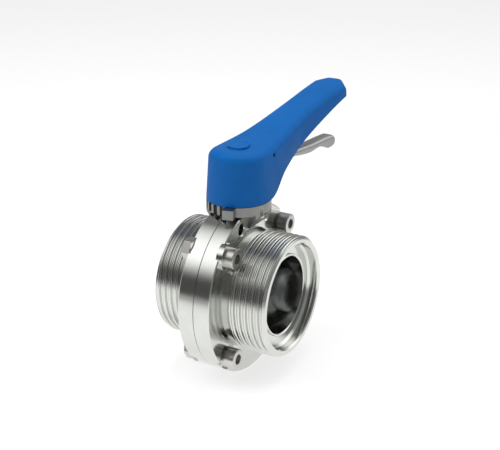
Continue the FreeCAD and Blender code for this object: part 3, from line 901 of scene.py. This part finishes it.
class VALVE_OT_fasteners(Operator):
    """Make the socket screws, spring washers, flat washers and nuts"""
    bl_idname = "valve.fasteners"
    bl_label = "Fasteners"

    def execute(self, context):
        sizes = context.scene.valve_sizes
        steel = fastener_steel()
        screws = at_bolts(socket_head_screw(sizes), "flange_screws", sizes)
        dress(screws, BODY, steel, ["socket_screws"])
        rings = at_bolts(split_ring(sizes), "split_rings", sizes)
        dress(rings, BODY, steel, ["spring_washers"])
        washers = at_bolts(flat_ring(sizes), "flat_rings", sizes)
        dress(washers, BODY, steel, ["nut_washers"])
        nuts = at_bolts(hexagon_nut(sizes), "flange_nuts", sizes)
        dress(nuts, BODY, steel, ["hex_nuts"])
        return {"FINISHED"}


class VALVE_OT_notched_plate(Operator):
    """Give the notched plate on the neck its rounded edges"""
    bl_idname = "valve.notched_plate"
    bl_label = "Notched plate"

    def execute(self, context):
        plate = traced("notch_plate", "lock_plate")
        round_edges(plate, 0.35 * MM, 2, 40)
        dress(plate, BODY, cast_steel(), ["notch_plate"])
        dress_node("plate_set_screws", fastener_steel())
        return {"FINISHED"}


class VALVE_OT_inner_pieces(Operator):
    """Finish the disc, the seat ring, the bushes and the stem seals"""
    bl_idname = "valve.inner_pieces"
    bl_label = "Inner pieces"

    def execute(self, context):
        # The disc gets steel painted dark, standing in for the shade inside the bore
        dress_node("disc_stem", disc_steel_painted_dark())
        dress_node("seat_seal", seal_rubber())
        dress_node("stem_o_rings", seal_rubber())
        for node in ("upper_bush", "lower_bush", "stem_thrust_disc"):
            dress_node(node, bearing_plastic())
        dress_node("hub_insert", cast_steel())
        return {"FINISHED"}


class VALVE_OT_pull_handle(Operator):
    """Finish the moulded handle, its cap, screw and washer"""
    bl_idname = "valve.pull_handle"
    bl_label = "Pull handle"

    def execute(self, context):
        shell = traced("handle_shell", "pull_handle")
        dress(shell, HANDLE, blue_moulding(), ["handle_shell"], 40)
        cap = traced("handle_cap", "handle_plug")
        dress(cap, HANDLE, blue_moulding(), ["handle_cap"], 50)
        low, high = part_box("trigger_pin")
        sink = context.scene.valve_sizes.pin_sink
        centre = (low + high) / 2
        centre.x = 0
        pin = rod("pivot_pin", (high.z - low.z) / 2, low.x + sink, high.x - sink, centre=centre, sides=48)
        round_edges(pin, 0.3 * MM, 3, 40)
        dress(pin, HANDLE, fastener_steel(), ["trigger_pin"])
        for node in ("handle_washer", "handle_screw", "trigger_spring"):
            dress_node(node, fastener_steel())
        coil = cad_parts["trigger_spring"]
        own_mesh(coil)
        return {"FINISHED"}


def swept_piece(name, section, stations):
    """Carry a closed outline across the pipe axis from station to station, without turning it."""
    first = Vector((0, *stations[0])) * MM
    piece = draw_line(name, [first + PIPE * out + STEM * rise for out, rise in section], closed=True)
    edit(piece)
    bpy.ops.mesh.edge_face_add()
    for here, there in zip(stations, stations[1:]):
        step = Vector((0, there[0] - here[0], there[1] - here[1])) * MM
        bpy.ops.mesh.extrude_region_move(TRANSFORM_OT_translate={"value": step})
    leave_edit()
    return clean(piece)


def shoulder(sizes, side):
    """What is cut from one side of the trigger to round its back and to leave a lip below a crease."""
    steps = 6
    rise = sizes.lever_rounding
    lip = sizes.lever_lip
    reach = sizes.lever_half_width - lip
    width = reach * 0.8
    past = sizes.lever_half_width
    section = [(reach - width, past), (past + lip, past), (past + lip, -rise - lip), (reach, -rise - lip)]
    for step in range(steps + 1):
        angle = math.pi / 2 * step / steps
        section.append((reach - width + width * math.cos(angle), rise * (math.sin(angle) - 1)))
    return swept_piece("shoulder", [(side * out, up) for out, up in section], TRIGGER_BACK)


class VALVE_OT_trigger(Operator):
    """Finish the trigger with its rounded back, its side creases and its broken edges"""
    bl_idname = "valve.trigger"
    bl_label = "Trigger"

    def execute(self, context):
        sizes = context.scene.valve_sizes
        lever = traced("trigger_lever", "squeeze_trigger")
        for side in (-1, 1):
            cut(lever, shoulder(sizes, side))
        round_edges(lever, 0.25 * MM, 2, 50)
        dress(lever, TRIGGER, trigger_steel(), ["trigger_lever"], 40)
        return {"FINISHED"}


def area_lamp(name, place, width, depth, power):
    """A soft box that faces the valve and that the steel doesn't mirror."""
    deselect()
    bpy.ops.object.light_add(type="AREA", location=place)
    lamp = bpy.context.object
    lamp.name = name
    lamp.data.shape = "RECTANGLE"
    lamp.data.size = width
    lamp.data.size_y = depth
    lamp.data.energy = power
    lamp.rotation_euler = (-Vector(place)).to_track_quat("-Z", "Y").to_euler()
    lamp.visible_glossy = False


def studio_floor(colour):
    deselect()
    bpy.ops.mesh.primitive_circle_add(vertices=96, radius=FLOOR_RADIUS, fill_type="NGON")
    floor = shift(bpy.context.object, (0, 0, CAD_BOX[0][2] - FLOOR_GAP))
    floor.name = "studio_floor"
    material, shader = new_material("Studio floor")
    shader.inputs["Base Color"].default_value = (*colour, 1)
    shader.inputs["Roughness"].default_value = 0.9
    shader.inputs["Specular IOR Level"].default_value = 0.0
    nodes, links = material.node_tree.nodes, material.node_tree.links
    place = nodes.new("ShaderNodeTexCoord")
    reach = nodes.new("ShaderNodeVectorMath")
    reach.operation = "LENGTH"
    links.new(place.outputs["Object"], reach.inputs[0])
    # Painted light: to glossy rays the floor glows bright near the valve and dark far off, a painted
    # reflection unlike its even white
    painted_glow = nodes.new("ShaderNodeMapRange")
    painted_glow.interpolation_type = "SMOOTHSTEP"
    painted_glow.inputs["From Min"].default_value = FLOOR_FADE[0]
    painted_glow.inputs["From Max"].default_value = FLOOR_FADE[1]
    painted_glow.inputs["To Min"].default_value = FLOOR_PAINTED_GLOW[0]
    painted_glow.inputs["To Max"].default_value = FLOOR_PAINTED_GLOW[1]
    links.new(reach.outputs["Value"], painted_glow.inputs["Value"])
    path = nodes.new("ShaderNodeLightPath")
    white = nodes.new("ShaderNodeEmission")
    strength = blended(nodes, links, path.outputs["Is Glossy Ray"], 1.0, painted_glow.outputs["Result"])
    links.new(strength, white.inputs["Strength"])
    share = nodes.new("ShaderNodeMapRange")
    share.inputs["To Max"].default_value = FLOOR_WHITE
    seen = computed(nodes, links, "MAXIMUM", path.outputs["Is Camera Ray"], path.outputs["Is Glossy Ray"])
    links.new(seen, share.inputs["Value"])
    blend = nodes.new("ShaderNodeMixShader")
    links.new(share.outputs["Result"], blend.inputs["Fac"])
    links.new(shader.outputs[0], blend.inputs[1])
    links.new(white.outputs[0], blend.inputs[2])
    links.new(blend.outputs[0], nodes["Material Output"].inputs["Surface"])
    floor.data.materials.append(material)


def sky_direction(azimuth, height):
    """Direction of a patch of the studio, by its angle round the stem from the front and its rise."""
    azimuth, height = math.radians(azimuth), math.radians(height)
    return Vector((
        math.sin(azimuth) * math.cos(height),
        -math.cos(azimuth) * math.cos(height),
        math.sin(height),
    ))


def bright_patch(nodes, links, ray, direction, spread, level):
    """Light that falls off evenly round a direction."""
    nearness = nodes.new("ShaderNodeVectorMath")
    nearness.operation = "DOT_PRODUCT"
    nearness.inputs[1].default_value = direction
    links.new(ray, nearness.inputs[0])
    patch = nodes.new("ShaderNodeMapRange")
    patch.inputs["From Min"].default_value = math.cos(math.radians(spread))
    patch.inputs["From Max"].default_value = math.cos(math.radians(BOX_CORE))
    patch.inputs["To Max"].default_value = level
    links.new(nearness.outputs["Value"], patch.inputs["Value"])
    return patch.outputs["Result"]


def blended(nodes, links, factor, first, second):
    """One of two numbers, each a constant or a socket, by a factor."""
    mix = nodes.new("ShaderNodeMix")
    links.new(factor, mix.inputs["Factor"])
    feed(links, first, mix.inputs["A"])
    feed(links, second, mix.inputs["B"])
    return mix.outputs["Result"]


def studio_world(studio):
    """Even light from all round, a white backdrop, and soft boxes in a dim room as the steel mirrors them."""
    world = bpy.data.worlds.new("Studio")
    bpy.context.scene.world = world
    world.use_nodes = True
    nodes, links = world.node_tree.nodes, world.node_tree.links
    backdrop = nodes["Background"]
    backdrop.inputs["Color"].default_value = (1, 1, 1, 1)
    ray = nodes.new("ShaderNodeTexCoord").outputs["Generated"]
    front_left, back_right = sky_direction(*KEY_PLACE), sky_direction(*BACK_PLACE)
    key = bright_patch(nodes, links, ray, front_left, studio.key_spread, studio.key_mirrored)
    back = bright_patch(nodes, links, ray, back_right, studio.back_spread, studio.back_mirrored)
    parts = nodes.new("ShaderNodeSeparateXYZ")
    links.new(ray, parts.inputs[0])
    gate = nodes.new("ShaderNodeMapRange")
    gate.interpolation_type = "SMOOTHSTEP"
    gate.inputs["From Min"].default_value = math.sin(math.radians(KEY_FADE[0]))
    gate.inputs["From Max"].default_value = math.sin(math.radians(KEY_FADE[1]))
    links.new(parts.outputs["Z"], gate.inputs["Value"])
    gated = computed(nodes, links, "MULTIPLY", key, gate.outputs["Result"])
    boxes = computed(nodes, links, "ADD", gated, back)
    ahead = nodes.new("ShaderNodeVectorMath")
    ahead.operation = "DOT_PRODUCT"
    ahead.inputs[1].default_value = sky_direction(*DARK_PLACE)
    links.new(ray, ahead.inputs[0])
    walls = nodes.new("ShaderNodeMapRange")
    walls.inputs["From Min"].default_value = -0.5
    walls.inputs["From Max"].default_value = 0.9
    walls.inputs["To Min"].default_value = studio.room_mirrored
    walls.inputs["To Max"].default_value = studio.dark_mirrored
    links.new(ahead.outputs["Value"], walls.inputs["Value"])
    room = computed(nodes, links, "ADD", boxes, walls.outputs["Result"])
    path = nodes.new("ShaderNodeLightPath")
    camera, clear = path.outputs["Is Camera Ray"], path.outputs["Is Transmission Ray"]
    seen = computed(nodes, links, "MAXIMUM", camera, clear)
    level = blended(nodes, links, path.outputs["Is Glossy Ray"], studio.world, room)
    links.new(blended(nodes, links, seen, level, 1.0), backdrop.inputs["Strength"])


class VALVE_OT_stage(Operator):
    """Set the camera, the lamps, the pale floor and the soft boxes that the steel mirrors"""
    bl_idname = "valve.stage"
    bl_label = "Stage"

    def execute(self, context):
        studio = context.scene.valve_studio
        turn_angle = math.radians(studio.camera_turn)
        rise = math.radians(studio.camera_rise)
        back = Vector((
            math.sin(turn_angle) * math.cos(rise),
            -math.cos(turn_angle) * math.cos(rise),
            math.sin(rise),
        ))
        right = Vector((math.cos(turn_angle), math.sin(turn_angle), 0))
        up = back.cross(right)
        place = back * studio.camera_distance + right * studio.aim_right + up * studio.aim_up
        deselect()
        bpy.ops.object.camera_add(location=place, rotation=(math.pi / 2 - rise, 0, turn_angle))
        camera = bpy.context.object
        camera.name = "studio_camera"
        camera.data.sensor_width = SENSOR_WIDTH
        camera.data.lens = studio.lens
        context.scene.camera = camera
        context.scene.view_settings.view_transform = "Standard"
        area_lamp("top_box", (0.05, 0, 1.1), 1.2, 0.9, 11)
        area_lamp("key_box", sky_direction(*KEY_PLACE) * KEY_DISTANCE, 0.7, 0.7, 10)
        area_lamp("right_box", (0.9, 0.3, 0.9), 0.5, 0.8, 4)
        studio_world(studio)
        studio_floor(context.scene.valve_colours.floor)
        return {"FINISHED"}


class VALVE_PT_sidebar(Panel):
    """Lists the builders of the valve's pieces"""
    bl_idname = "VALVE_PT_sidebar"
    bl_label = "Butterfly valve"
    bl_space_type = "VIEW_3D"
    bl_region_type = "UI"
    bl_category = "Valve"

    def draw(self, context):
        for operator in OPERATORS:
            self.layout.operator(operator.bl_idname)


OPERATORS = (
    VALVE_OT_body_halves,
    VALVE_OT_fasteners,
    VALVE_OT_notched_plate,
    VALVE_OT_inner_pieces,
    VALVE_OT_pull_handle,
    VALVE_OT_trigger,
    VALVE_OT_stage,
)
CLASSES = (ValveSizes, ValveColours, StudioSettings, *OPERATORS, VALVE_PT_sidebar)


def register():
    for item in CLASSES:
        bpy.utils.register_class(item)
    bpy.types.Scene.valve_sizes = PointerProperty(type=ValveSizes)
    bpy.types.Scene.valve_colours = PointerProperty(type=ValveColours)
    bpy.types.Scene.valve_studio = PointerProperty(type=StudioSettings)


def unregister():
    del bpy.types.Scene.valve_studio
    del bpy.types.Scene.valve_colours
    del bpy.types.Scene.valve_sizes
    for item in reversed(CLASSES):
        bpy.utils.unregister_class(item)


def main():
    register()
    bpy.ops.valve.body_halves()
    bpy.ops.valve.fasteners()
    bpy.ops.valve.notched_plate()
    bpy.ops.valve.inner_pieces()
    bpy.ops.valve.pull_handle()
    bpy.ops.valve.trigger()
    bpy.ops.valve.stage()


if __name__ == "__main__":
    main()
